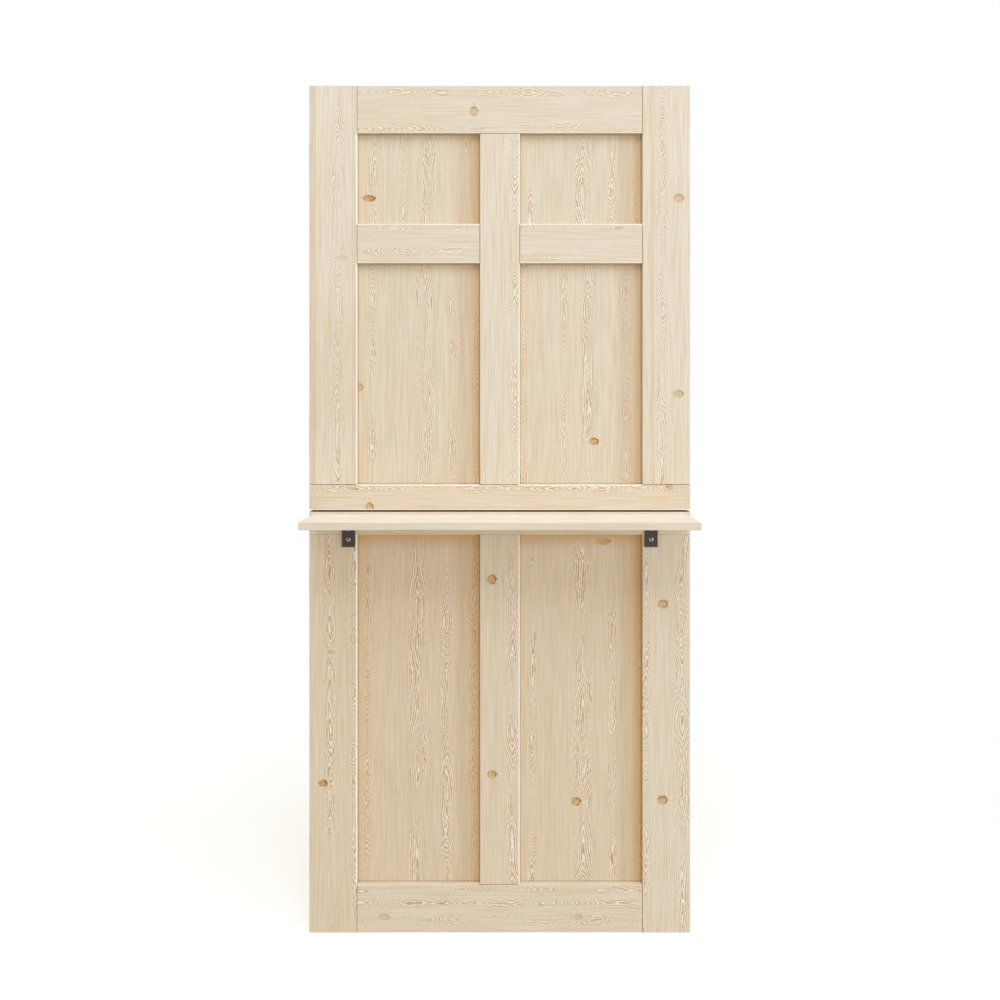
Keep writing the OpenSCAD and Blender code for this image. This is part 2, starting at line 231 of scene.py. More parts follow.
# The panel openings as (foot, head) and (left, right), in mm
LOW_ROW, MAIN_ROW, TOP_ROW = (114.3, 954.5), (1074.5, 1605.455), (1700.7, 1917.7)
LEFT, RIGHT = (-342.9, -47.6), (47.6, 342.9)
UPPER_ROWS, LOWER_ROW, COLUMNS = (MAIN_ROW, TOP_ROW), (LOW_ROW,), (LEFT, RIGHT)
# The two sides of the gap between the leaves, and the shelf's front edge
MEETING_FOOT, CAP_HEAD, SHELF_FRONT = 1013.5, 1009.5, -157.5
# Painted shadow of the shelf: under it the panels have a deeper tone
SHADED_HEAD = (band("along", LOW_ROW[1], 45.0, "knot", 0.45),
               band("along", LOW_ROW[1], 40.0, "late_wood", 0.22))
# The left stiles and the mullions have a painted highlight on their right edges beside the panels
STILES = (
    Board("upper_left_stile", "ZXY", -0.04, ((-388, 13),), ((-379, 1618, 12, 6, 0.15),),
          butts(MAIN_ROW[0]) + painted_edge_highlight(UPPER_ROWS, LEFT[0])
          + (Line("across", -449, 8.0, "honey", 0.3), Line("across", -350, 5.0, "honey", 0.2),
             band("along", 1330, 340.0, "honey", 0.19))),
    Board("upper_right_stile", "ZXY", 0.0, ((389, 13),),
          ((430, 1762, 10.5, 8, 0.5), (429, 1293, 10.5, 7, 0.55), (405, 1069, 6, 7, 0.55)),
          butts(MAIN_ROW[0]) + (Line("across", 366, 6.0, "blush", 0.3),)),
    Board("lower_left_stile", "ZXY", 0.3, ((-408, 13), (-349, 8)),
          ((-424, 358, 8.8, 6.8, 1.0), (-407, 673, 5, 4, 0.4)), painted_edge_highlight(LOWER_ROW, LEFT[0])),
    Board("lower_right_stile", "ZXY", 0.13, ((351, 9), (437, 17)),
          ((392, 788, 10, 8, 0.7), (391, 318, 9.5, 8.5, 0.75))),
)
# Painted highlight on each mullion's right edge beside the panels
MULLIONS = (
    Board("upper_mullion", "ZXY", 0.01, ((36, 9),), (),
          butts(MAIN_ROW[0], TOP_ROW[1]) + painted_edge_highlight(UPPER_ROWS, RIGHT[0])),
    Board("lower_mullion", "ZXY", 0.24, ((30, 14),), ((-19, 847, 9, 9, 0.75), (-19, 379, 9.5, 8, 0.7)),
          butts(LOW_ROW[0]) + painted_edge_highlight(LOWER_ROW, RIGHT[0])),
)
# Painted highlights on rail heads that face up and on feet over panels, and painted shade under the feet
RAILS = (
    Board("upper_top_rail", "XZY", 0.09, ((1929, 11), (2016, 10)), ((1971, -62, 9.5, 7.5, 0.6),),
          butts(LEFT[0], RIGHT[1]) + soffit(COLUMNS, TOP_ROW[1], 0.38)),
    Board("upper_left_cross_rail", "XZY", 0.08, ((1634, 9), (1689, 8)), (),
          butts(*LEFT) + painted_edge_highlight((LEFT,), TOP_ROW[0]) + soffit((LEFT,), MAIN_ROW[1], 0.5)),
    Board("upper_right_cross_rail", "XZY", 0.04, ((1619, 8), (1692, 9)), (),
          butts(*RIGHT) + painted_edge_highlight((RIGHT,), TOP_ROW[0]) + soffit((RIGHT,), MAIN_ROW[1], 0.5)),
    # Painted shade in the gap between the leaves: dark on the meeting rail's underside and on the cap rail's
    # rounded edge and top face, with a painted highlight on the rounded edge beside each
    Board("upper_meeting_rail", "XZY", 0.18, ((1066, 9),),
          ((1021, -312, 8, 8, 0.65), (1069, 407, 7, 6.5, 0.5)),
          painted_edge_highlight(COLUMNS, MAIN_ROW[0])
          + (Line("across", MEETING_FOOT + 1.2, 1.15, "early_wood", 0.8),
             Line("across", MEETING_FOOT, 0.04, "seam", 1.0))),
    Board("lower_cap_rail", "XZY", 0.16, ((990, 9),), (),
          (Line("across", CAP_HEAD - 1.6, 0.8, "early_wood", 0.5),
           Line("across", CAP_HEAD - 0.39, 0.36, "seam", 0.9),
           Line("across", CAP_HEAD, 0.03, "late_wood", 0.5))),
    Board("lower_bottom_rail", "XZY", 0.18, ((30, 12), (70, 9), (102, 9)),
          ((37, -278, 6, 12, 0.3), (37, 186, 5, 10, 0.3)), butts(LEFT[0], RIGHT[1])),
)
# Round each panel, grooves adds painted shade; SHADED_HEAD adds the shelf's painted shadow, and the lower
# left panel has a band of painted shade at its left margin
PANELS = (
    Board("upper_top_left_panel", "ZXY", 0.19, ((-302, 13), (-235, 7), (-172, 15), (-82, 10)),
          ((-316, 1765, 13, 6, 0.95),), grooves(TOP_ROW, LEFT)),
    Board("upper_top_right_panel", "ZXY", 0.15, ((75, 8), (201, 18), (270, 10), (332, 13)), (),
          grooves(TOP_ROW, RIGHT)),
    Board("upper_main_left_panel", "ZXY", 0.18, ((-308, 9), (-182, 20), (-114, 10), (-54, 9)),
          ((-338, 1309, 7, 8, 0.5),), grooves(MAIN_ROW, LEFT)),
    Board("upper_main_right_panel", "ZXY", 0.16, ((57, 10), (155, 9), (213, 13), (305, 10)),
          ((228, 1178, 9, 6.6, 1.0),), grooves(MAIN_ROW, RIGHT)),
    Board("lower_left_panel", "ZXY", 0.39, ((-321, 10), (-198, 21), (-128, 14), (-63, 12)), (),
          (band("across", -335, 30.0, "knot", 0.2),) + SHADED_HEAD + grooves(LOW_ROW, LEFT)),
    Board("lower_right_panel", "ZXY", 0.33, ((78, 9), (201, 21), (271, 10), (340, 8)),
          ((185, 308, 9, 8, 0.85), (250, 936, 15, 6, 0.6)), SHADED_HEAD + grooves(LOW_ROW, RIGHT, 0.65)),
)
# The shelf's front face has painted shade, a deeper honey tone than its top
SHELF = Board("shelf_board", "XYZ", -0.42, ((-35, 12), (-95, 10)), (),
              (Line("across", SHELF_FRONT, 1.0, "honey", 0.35),))
BOARDS = STILES + MULLIONS + RAILS + PANELS + (SHELF,)

# The pine's figure. Lengths are in mm, and three together go across, along and through the grain
BOARD_SHIFT = 7.31  # sets the noise of one board apart from the next
STRIP_EDGE = (1.15, 0.8)  # parts of a strip's half width where its figure begins and where it is whole
HEART_LENGTH, HEART_SWING, HEART_SHIFT = 90, 8, 2.3  # swing of a strip's heart line, and its shift by strip
RISE_LENGTH, RISE_THROUGH, RISE_SHIFT = 200, 80, 3.7  # rise and fall of the rings, and its shift by strip
RISE_HEIGHT = 480  # over a strip's half width, it gives how many rings rise
TIP_ROUND = 1.5  # radius of a chevron's tip
LEAN = 0.8  # how far straight rings lean through the board
WAVER, WAVER_RINGS = (30, 140, 30), 2.5  # how straight rings waver, and by how many rings
RAGGED, RAGGED_RINGS = (5, 13, 5), 1.4  # how ragged the rings are, and by how many rings
SWIRL, SWIRL_RINGS = (3.4, 0.7), 3.0  # half widths of a knot where rings bend round it, and by how many
LATE, EARLY = (0.4, 0.9), (0.5, 0.1)  # parts of a ring where it turns dark, and where it is still pale
FAINTEST_RING, STRAIGHT_SHOW = 0.5, 0.2  # how strong the faintest ring is, and rings outside the strips
PATCH, PATCH_STEP, PATCH_SHOW = (25, 150, 25), (0.38, 0.58), 0.15  # patches where rings hardly show
FIBRE_LENGTH, FIBRE_STEP, FIBRE_SHADE = 110, (0.4, 0.7), 0.27  # streaks of fibre and how dark they are
ZONE, GLUE_STEP, GLUE_SHIFT = (30, 320, 50), 0.04, 0.37  # zones of tone, and the step at a glued joint
EARLY_SHADE, LATE_SHADE, LATE_WARMTH = 0.8, 0.72, 0.45  # strength of pale and dark rings, and more by warmth
FLECK, SPOT, SPOT_STEP, SPOT_SHADE = 6, 4, (0.48, 0.64), 0.8  # flecks at a knot's edge and spots in it
KNOT_FRAY, KNOT_EDGE, KNOT_FILL = 1.2, (2.2, 1.5), 0.74  # how a knot frays, where it ends, how full it is
DARK_SIDE, FAINT_RIM, RIM_TURN = (0.8, 0.6, 0), 0.3, (-0.8, 0.7)  # a rim's dark side and its faint one
# Dark pith and rim of a knot, by a share of the distance from its middle
RIM_SCALE, PITH = 0.4, (0.7, 0.7, 0.7, 1)
RIM = ((0.3, PITH), (0.4, BLACK), (0.48, BLACK), (0.6, WHITE), (0.66, WHITE), (0.78, BLACK))
LINE_CORE = 0.98  # share of a sharp line's half width that has its full strength
ROUGH_EARLY, ROUGH_LATE = 0.68, 0.56
LATE_PROUD, GRAIN_RELIEF = 0.5, 0.15  # how far late wood stands out from the fibre, and the height of both


class Grain(NamedTuple):
    """Sockets with a point's place on a board, in metres, and as one vector across, along and through."""
    along: bpy.types.NodeSocket
    across: bpy.types.NodeSocket
    through: bpy.types.NodeSocket
    grid: bpy.types.NodeSocket


def per_metre(*lengths):
    """How many of each length, in mm, go into a metre."""
    return tuple(1 / (length * MM) for length in lengths)


def nearest_strip(tree, strips, grain, seed):
    """Middle, half width and number of the flat-sawn strip that a point is nearest to."""
    middle, half = (value * MM for value in strips[0])
    strip = put(tree, "ShaderNodeCombineXYZ", {0: middle, 1: half, 2: seed}).outputs[0]
    for (m0, h0), (m1, h1) in zip(strips, strips[1:]):
        past = put(tree, "ShaderNodeMath", {0: grain.across, 1: (m0 + m1) / 2 * MM},
                   operation="GREATER_THAN" if m1 > m0 else "LESS_THAN").outputs[0]
        step = ((m1 - m0) * MM, (h1 - h0) * MM, 1.0)
        strip = put(tree, "ShaderNodeVectorMath", {0: past, 1: step, 2: strip},
                    operation="MULTIPLY_ADD").outputs[0]
    return put(tree, "ShaderNodeSeparateXYZ", {0: strip}).outputs


def growth_rings(tree, wood, grain, strip, seed):
    """Ring number at a point, how far it is within a flat-sawn strip, and 1 where it is in one at all."""
    middle, half, number = strip
    off = put(tree, "ShaderNodeMath", {0: grain.across, 1: middle}, operation="SUBTRACT").outputs[0]
    reach = put(tree, "ShaderNodeMath", {0: off}, operation="ABSOLUTE").outputs[0]
    reach = put(tree, "ShaderNodeMath", {0: reach, 1: half}, operation="DIVIDE").outputs[0]
    flat_sawn = put(tree, "ShaderNodeMapRange", {0: reach, 1: STRIP_EDGE[0], 2: STRIP_EDGE[1]},
                    interpolation_type="SMOOTHSTEP").outputs[0]
    inside = put(tree, "ShaderNodeMath", {0: flat_sawn, 1: 0.01}, operation="GREATER_THAN").outputs[0]

    # The heart line of a strip swings a few mm from side to side
    swing = put(tree, "ShaderNodeCombineXYZ", {0: grain.along, 1: number}).outputs[0]
    swing = put(tree, "ShaderNodeVectorMath", {0: swing, 1: (*per_metre(HEART_LENGTH), HEART_SHIFT, 0)},
                operation="MULTIPLY").outputs[0]
    swing = put(tree, "ShaderNodeTexNoise", {"Vector": swing, "Scale": 1.0, "Detail": 1.0}).outputs[0]
    swing = put(tree, "ShaderNodeMapRange", {0: swing, 3: -HEART_SWING * MM, 4: HEART_SWING * MM}).outputs[0]

    # Rings rise and fall slowly along the grain, which makes the chevrons turn and close into eyes
    per_along, per_through = per_metre(RISE_LENGTH, RISE_THROUGH)
    rise = put(tree, "ShaderNodeCombineXYZ", {0: grain.along, 1: number, 2: grain.through}).outputs[0]
    rise = put(tree, "ShaderNodeVectorMath", {0: rise, 1: (per_along, RISE_SHIFT, per_through)},
               operation="MULTIPLY").outputs[0]
    rise = put(tree, "ShaderNodeTexNoise",
               {"Vector": rise, "Scale": 1.0, "Detail": 1.5, "Roughness": 0.3}).outputs[0]
    rise = put(tree, "ShaderNodeMath", {0: rise, 1: RISE_HEIGHT * MM}, operation="MULTIPLY").outputs[0]
    rise = put(tree, "ShaderNodeMath", {0: rise, 1: half}, operation="DIVIDE").outputs[0]

    # Chevrons with rounded tips inside the flat-sawn strips, straight lines outside them
    tip = put(tree, "ShaderNodeMath", {0: off, 1: swing}, operation="ADD").outputs[0]
    tip = put(tree, "ShaderNodeCombineXYZ", {0: tip, 1: TIP_ROUND * MM, 2: 0.0}).outputs[0]
    tip = put(tree, "ShaderNodeVectorMath", {0: tip}, operation="LENGTH").outputs["Value"]
    chevron = put(tree, "ShaderNodeMath", {0: tip, 1: 1 / wood.ring_gap, 2: rise},
                  operation="MULTIPLY_ADD").outputs[0]
    waver = put(tree, "ShaderNodeVectorMath", {0: grain.grid, 1: per_metre(*WAVER), 2: (seed, 0, 0)},
                operation="MULTIPLY_ADD").outputs[0]
    waver = put(tree, "ShaderNodeTexNoise", {"Vector": waver, "Scale": 1.0, "Detail": 2.0}).outputs[0]
    straight = put(tree, "ShaderNodeMath", {0: grain.through, 1: LEAN, 2: grain.across},
                   operation="MULTIPLY_ADD").outputs[0]
    straight = put(tree, "ShaderNodeMath", {0: straight, 1: 1 / wood.ring_gap},
                   operation="MULTIPLY").outputs[0]
    straight = put(tree, "ShaderNodeMath", {0: waver, 1: WAVER_RINGS, 2: straight},
                   operation="MULTIPLY_ADD").outputs[0]
    rings = put(tree, "ShaderNodeMix", {0: inside, 2: straight, 3: chevron}).outputs[0]

    ragged = put(tree, "ShaderNodeVectorMath", {0: grain.grid, 1: per_metre(*RAGGED)},
                 operation="MULTIPLY").outputs[0]
    ragged = put(tree, "ShaderNodeTexNoise", {"Vector": ragged, "Scale": 1.0, "Detail": 3.0}).outputs[0]
    rings = put(tree, "ShaderNodeMath", {0: ragged, 1: RAGGED_RINGS, 2: rings},
                operation="MULTIPLY_ADD").outputs[0]
    return rings, flat_sawn, inside


def ring_tones(tree, grain, rings, flat_sawn, seed):
    """How dark and how pale the rings make a point. Each ring begins pale, darkens late and ends sharply, and
    some rings are stronger than others."""
    year = put(tree, "ShaderNodeMath", {0: rings}, operation="FRACT").outputs[0]
    number = put(tree, "ShaderNodeMath", {0: rings}, operation="FLOOR").outputs[0]
    luck = put(tree, "ShaderNodeTexWhiteNoise", {"W": number}, noise_dimensions="1D").outputs["Value"]
    luck = put(tree, "ShaderNodeMapRange", {0: luck, 3: FAINTEST_RING, 4: 1.0}).outputs[0]
    show = put(tree, "ShaderNodeMapRange", {0: flat_sawn, 3: STRAIGHT_SHOW, 4: 1.0}).outputs[0]
    show = put(tree, "ShaderNodeMath", {0: show, 1: luck}, operation="MULTIPLY").outputs[0]
    patch = put(tree, "ShaderNodeVectorMath", {0: grain.grid, 1: per_metre(*PATCH), 2: (0, seed, 0)},
                operation="MULTIPLY_ADD").outputs[0]
    patch = put(tree, "ShaderNodeTexNoise", {"Vector": patch, "Scale": 1.0, "Detail": 1.0}).outputs[0]
    patch = put(tree, "ShaderNodeMapRange",
                {0: patch, 1: PATCH_STEP[0], 2: PATCH_STEP[1], 3: PATCH_SHOW, 4: 1.0}).outputs[0]
    show = put(tree, "ShaderNodeMath", {0: show, 1: patch}, operation="MULTIPLY").outputs[0]
    tones = []
    for start, end in (LATE, EARLY):
        part = put(tree, "ShaderNodeMapRange", {0: year, 1: start, 2: end},
                   interpolation_type="SMOOTHSTEP").outputs[0]
        tones.append(put(tree, "ShaderNodeMath", {0: part, 1: show}, operation="MULTIPLY").outputs[0])
    return tones


def knot_at(tree, knot, grain):
    """How far a point is from a knot's middle, in its half widths, on which side, and its depth of colour."""
    middle_across, middle_along, half_across, half_along, depth = knot
    away = put(tree, "ShaderNodeVectorMath",
               {0: grain.grid, 1: (*per_metre(half_across, half_along), 0),
                2: (-middle_across / half_across, -middle_along / half_along, 0)},
               operation="MULTIPLY_ADD").outputs[0]
    side = put(tree, "ShaderNodeVectorMath", {0: away, 1: DARK_SIDE},
               operation="DOT_PRODUCT").outputs["Value"]
    away = put(tree, "ShaderNodeVectorMath", {0: away}, operation="LENGTH").outputs["Value"]
    return away, side, depth


def paint_knots(tree, wood, grain, knots, body):
    """A golden body with a ragged soft edge, a dark pith and spots, and a rim that is darker on one side."""
    fleck = put(tree, "ShaderNodeTexNoise",
                {"Vector": grain.grid, "Scale": 1 / (FLECK * MM), "Detail": 4.0}).outputs[0]
    spots = put(tree, "ShaderNodeTexNoise",
                {"Vector": grain.grid, "Scale": 1 / (SPOT * MM), "Detail": 2.0}).outputs[0]
    spots = put(tree, "ShaderNodeMapRange",
                {0: spots, 1: SPOT_STEP[0], 2: SPOT_STEP[1], 4: SPOT_SHADE}).outputs[0]
    for away, side, depth in knots:
        frayed = put(tree, "ShaderNodeMath", {0: fleck, 1: KNOT_FRAY, 2: away},
                     operation="MULTIPLY_ADD").outputs[0]
        glow = put(tree, "ShaderNodeMapRange",
                   {0: frayed, 1: KNOT_EDGE[0], 2: KNOT_EDGE[1], 4: KNOT_FILL * depth},
                   interpolation_type="SMOOTHSTEP").outputs[0]
        body = put(tree, "ShaderNodeMix", {0: glow, 6: body, 7: wood.knot}, data_type="RGBA").outputs[2]
        scaled = put(tree, "ShaderNodeMath", {0: frayed, 1: RIM_SCALE}, operation="MULTIPLY").outputs[0]
        rim = put(tree, "ShaderNodeValToRGB", {0: scaled}, stops=RIM).outputs[0]
        lit = put(tree, "ShaderNodeMapRange",
                  {0: side, 1: RIM_TURN[0], 2: RIM_TURN[1], 3: FAINT_RIM * depth, 4: depth}).outputs[0]
        mark = put(tree, "ShaderNodeMath", {0: glow, 1: spots}, operation="MULTIPLY").outputs[0]
        mark = put(tree, "ShaderNodeMath", {0: rim, 1: lit, 2: mark}, operation="MULTIPLY_ADD",
                   use_clamp=True).outputs[0]
        body = put(tree, "ShaderNodeMix", {0: mark, 6: body, 7: wood.knot_rim}, data_type="RGBA").outputs[2]
    return body


def paint_lines(tree, wood, grain, lines, body):
    """Dark butt joints, painted shade and painted highlights, and soft bands that are on the front only."""
    ways = {"along": (grain.along, grain.across), "across": (grain.across, grain.along)}
    for line in lines:
        measured, other = ways[line.way]
        aside = put(tree, "ShaderNodeMath", {0: measured, 1: line.place * MM},
                    operation="SUBTRACT").outputs[0]
        aside = put(tree, "ShaderNodeMath", {0: aside}, operation="ABSOLUTE").outputs[0]
        core = 0.0 if line.soft else LINE_CORE
        mask = put(tree, "ShaderNodeMapRange",
                   {0: aside, 1: line.reach * MM, 2: core * line.reach * MM, 4: line.depth},
                   interpolation_type="SMOOTHSTEP").outputs[0]
        # Soft bands, most of them painted shade, are kept to the front
        if line.soft:
            front = put(tree, "ShaderNodeMath", {0: grain.through, 1: 0.0}, operation="LESS_THAN").outputs[0]
            mask = put(tree, "ShaderNodeMath", {0: mask, 1: front}, operation="MULTIPLY").outputs[0]
        masks = [] if line.spans else [mask]
        for low, high in line.spans:
            part = put(tree, "ShaderNodeMath", {0: other, 1: (low + high) / 2 * MM, 2: (high - low) / 2 * MM},
                       operation="COMPARE").outputs[0]
            masks.append(put(tree, "ShaderNodeMath", {0: part, 1: mask}, operation="MULTIPLY").outputs[0])
        for part in masks:
            body = put(tree, "ShaderNodeMix", {0: part, 6: body, 7: getattr(wood, line.tint)},
                       data_type="RGBA").outputs[2]
    return body


def planed_pine(board, wood):
    """Planed, unfinished pine. Glued up from straight-grained strips and narrow flat-sawn ones, so the eye
    sees fine straight lines with columns of chevrons and eyes between them, tone steps at the joints and
    small knots."""
    made = empty_material("planed_pine_" + board.node)
    tree = made.node_tree
    seed = BOARD_SHIFT * (1 + BOARDS.index(board))
    local = put(tree, "ShaderNodeTexCoord")
    point = put(tree, "ShaderNodeSeparateXYZ", {0: local.outputs["Object"]})
    along, across, through = (point.outputs[axis] for axis in board.axes)
    grid = put(tree, "ShaderNodeCombineXYZ", {0: across, 1: along, 2: through}).outputs[0]
    grain = Grain(along, across, through, grid)

    strip = nearest_strip(tree, board.strips, grain, seed)
    rings, flat_sawn, inside = growth_rings(tree, wood, grain, strip, seed)
    # Rings bend round the knots
    knots = [knot_at(tree, knot, grain) for knot in board.knots]
    for away, _, _ in knots:
        swirl = put(tree, "ShaderNodeMapRange", {0: away, 1: SWIRL[0], 2: SWIRL[1], 3: 0.0, 4: SWIRL_RINGS},
                    interpolation_type="SMOOTHSTEP").outputs[0]
        rings = put(tree, "ShaderNodeMath", {0: rings, 1: swirl}, operation="ADD").outputs[0]
    dark, pale = ring_tones(tree, grain, rings, flat_sawn, seed)

    # Streaks of fibre, drawn coarser than the real ones, which are too fine to show
    per_fibre, per_along = 1 / wood.fibre_gap, 1 / (FIBRE_LENGTH * MM)
    fibre = put(tree, "ShaderNodeVectorMath",
                {0: grid, 1: (per_fibre, per_along, per_fibre), 2: (seed, seed, 0)},
                operation="MULTIPLY_ADD").outputs[0]
    fibre = put(tree, "ShaderNodeTexNoise", {"Vector": fibre, "Scale": 1.0, "Detail": 3.0}).outputs[0]

    # Broad zones of tone, stepped where one strip is glued to the next
    zone = put(tree, "ShaderNodeVectorMath", {0: grid, 1: per_metre(*ZONE), 2: (0, seed, seed)},
               operation="MULTIPLY_ADD").outputs[0]
    zone = put(tree, "ShaderNodeTexNoise", {"Vector": zone, "Scale": 1.0, "Detail": 2.0}).outputs[0]
    glued = put(tree, "ShaderNodeMath", {0: inside, 1: GLUE_SHIFT, 2: strip[2]},
                operation="MULTIPLY_ADD").outputs[0]
    glued = put(tree, "ShaderNodeTexWhiteNoise", {"W": glued}, noise_dimensions="1D").outputs["Value"]
    zone = put(tree, "ShaderNodeMath", {0: glued, 1: GLUE_STEP, 2: zone}, operation="MULTIPLY_ADD").outputs[0]
    body = put(tree, "ShaderNodeValToRGB", {0: zone}, stops=(
        (0.4, between(wood.rose, wood.blush, board.warmth)),
        (0.56, between(wood.cream, wood.honey, board.warmth)),
        (0.72, between(wood.straw, wood.moss, board.warmth)))).outputs[0]

    shade = put(tree, "ShaderNodeMapRange",
                {0: fibre, 1: FIBRE_STEP[0], 2: FIBRE_STEP[1], 3: 0.0, 4: FIBRE_SHADE}).outputs[0]
    body = put(tree, "ShaderNodeMix", {0: shade, 6: body, 7: wood.late_wood}, data_type="RGBA").outputs[2]
    shade = put(tree, "ShaderNodeMath", {0: pale, 1: EARLY_SHADE}, operation="MULTIPLY").outputs[0]
    body = put(tree, "ShaderNodeMix", {0: shade, 6: body, 7: wood.early_wood}, data_type="RGBA").outputs[2]
    shade = put(tree, "ShaderNodeMath", {0: dark, 1: LATE_SHADE + LATE_WARMTH * board.warmth},
                operation="MULTIPLY").outputs[0]
    body = put(tree, "ShaderNodeMix", {0: shade, 6: body, 7: wood.late_wood}, data_type="RGBA").outputs[2]
    if knots:
        body = paint_knots(tree, wood, grain, knots, body)
    body = paint_lines(tree, wood, grain, board.lines, body)

    # Late wood is denser, so it stands a hair proud after planing and shines a little more
    rough = put(tree, "ShaderNodeMapRange", {0: dark, 3: ROUGH_EARLY, 4: ROUGH_LATE}).outputs[0]
    proud = put(tree, "ShaderNodeMath", {0: dark, 1: LATE_PROUD, 2: fibre},
                operation="MULTIPLY_ADD").outputs[0]
    relief = put(tree, "ShaderNodeBump", {"Strength": 0.35, "Distance": GRAIN_RELIEF * MM, "Height": proud})
    skin = put(tree, "ShaderNodeBsdfPrincipled", {
        "Base Color": body, "Roughness": rough, "IOR": 1.5, "Normal": relief.outputs[0]})
    put(tree, "ShaderNodeOutputMaterial", {"Surface": skin.outputs[0]})
    return made


def turned_beech():
    """Turned beech. Close and even, so the eye sees a warm plain brown with short dark flecks."""
    made = empty_material("turned_beech")
    tree = made.node_tree
    local = put(tree, "ShaderNodeTexCoord")
    fleck = put(tree, "ShaderNodeTexNoise",
                {"Vector": local.outputs["Object"], "Scale": 1 / (1.1 * MM), "Detail": 2.0})
    tone = put(tree, "ShaderNodeValToRGB", {0: fleck.outputs[0]},
               stops=((0.35, linear("#c89f72")), (0.6, linear("#d8b68c"))))
    skin = put(tree, "ShaderNodeBsdfPrincipled", {
        "Base Color": tone.outputs[0], "Roughness": 0.6, "IOR": 1.5})
    put(tree, "ShaderNodeOutputMaterial", {"Surface": skin.outputs[0]})
    return made


def powder_coated_steel(metal):
    """Black powder coat on bent steel. Baked from grains of paint, so the eye sees a soft sheen with a fine
    orange-peel grain."""
    made = empty_material("powder_coated_steel")
    tree = made.node_tree
    local = put(tree, "ShaderNodeTexCoord")
    # Real orange peel is about 0.5 mm across; it is drawn at 1.2 mm so that it shows
    peel = put(tree, "ShaderNodeTexNoise",
               {"Vector": local.outputs["Object"], "Scale": 1 / (1.2 * MM), "Detail": 2.0}).outputs[0]
    tone = put(tree, "ShaderNodeValToRGB", {0: peel}, stops=(
        (0.3, between(metal.powder, BLACK, 0.25)), (0.7, between(metal.powder, WHITE, 0.03))))
    rough = put(tree, "ShaderNodeMapRange", {0: peel, 3: 0.4, 4: 0.6}).outputs[0]
    relief = put(tree, "ShaderNodeBump", {"Strength": 0.3, "Distance": 0.1 * MM, "Height": peel})
    skin = put(tree, "ShaderNodeBsdfPrincipled", {
        "Base Color": tone.outputs[0], "Roughness": rough, "IOR": 1.5, "Normal": relief.outputs[0]})
    put(tree, "ShaderNodeOutputMaterial", {"Surface": skin.outputs[0]})
    return made


# The bracket screws, in mm: the middle of a bracket, the radii where a drive recess's painted shade begins
# and where it is full, and for each node the way from row to row of its heads, the middle between two rows
# and half their gap
BRACKET_X, RECESS_RIM, RECESS_FLOOR = 362.9, 2.6, 1.8
BRACKET_SCREWS = {"bracket_door_screws": ("Z", 956.55, 12.75), "bracket_shelf_screws": ("Y", -48.25, 12.75)}


def zinc_plated_steel(metal, node, rows):
    """Bright zinc plate. Barrel plated, so the eye sees a clean pale metal, faintly clouded, and painted
    shade in the drive recess in the middle of each head."""
    made = empty_material("zinc_plated_" + node)
    tree = made.node_tree
    local = put(tree, "ShaderNodeTexCoord")
    cloud = put(tree, "ShaderNodeTexNoise",
                {"Vector": local.outputs["Object"], "Scale": 1 / (2.5 * MM), "Detail": 3.0}).outputs[0]
    tone = put(tree, "ShaderNodeValToRGB", {0: cloud}, stops=(
        (0.3, between(metal.zinc, linear("#7f8284"), 0.5)), (0.65, metal.zinc)))
    rough = put(tree, "ShaderNodeMapRange", {0: cloud, 3: 0.3, 4: 0.45}).outputs[0]
    # Distance from the middle of the nearest head
    axis, row, gap = rows
    point = put(tree, "ShaderNodeSeparateXYZ", {0: local.outputs["Object"]})
    aside = put(tree, "ShaderNodeMath", {0: point.outputs["X"]}, operation="ABSOLUTE").outputs[0]
    aside = put(tree, "ShaderNodeMath", {0: aside, 1: BRACKET_X * MM}, operation="SUBTRACT").outputs[0]
    down = put(tree, "ShaderNodeMath", {0: point.outputs[axis], 1: row * MM}, operation="SUBTRACT").outputs[0]
    down = put(tree, "ShaderNodeMath", {0: down}, operation="ABSOLUTE").outputs[0]
    down = put(tree, "ShaderNodeMath", {0: down, 1: gap * MM}, operation="SUBTRACT").outputs[0]
    out = put(tree, "ShaderNodeCombineXYZ", {0: aside, 1: down}).outputs[0]
    out = put(tree, "ShaderNodeVectorMath", {0: out}, operation="LENGTH").outputs["Value"]
    # Painted shade in the drive recess, in the colour of the bracket coat
    recess_shade = put(tree, "ShaderNodeMapRange", {0: out, 1: RECESS_RIM * MM, 2: RECESS_FLOOR * MM}).outputs[0]
    tone = put(tree, "ShaderNodeMix", {0: recess_shade, 6: tone.outputs[0], 7: metal.powder}, data_type="RGBA")
    skin = put(tree, "ShaderNodeBsdfPrincipled", {
        "Base Color": tone.outputs[2], "Roughness": rough, "Metallic": 1.0})
    put(tree, "ShaderNodeOutputMaterial", {"Surface": skin.outputs[0]})
    return made


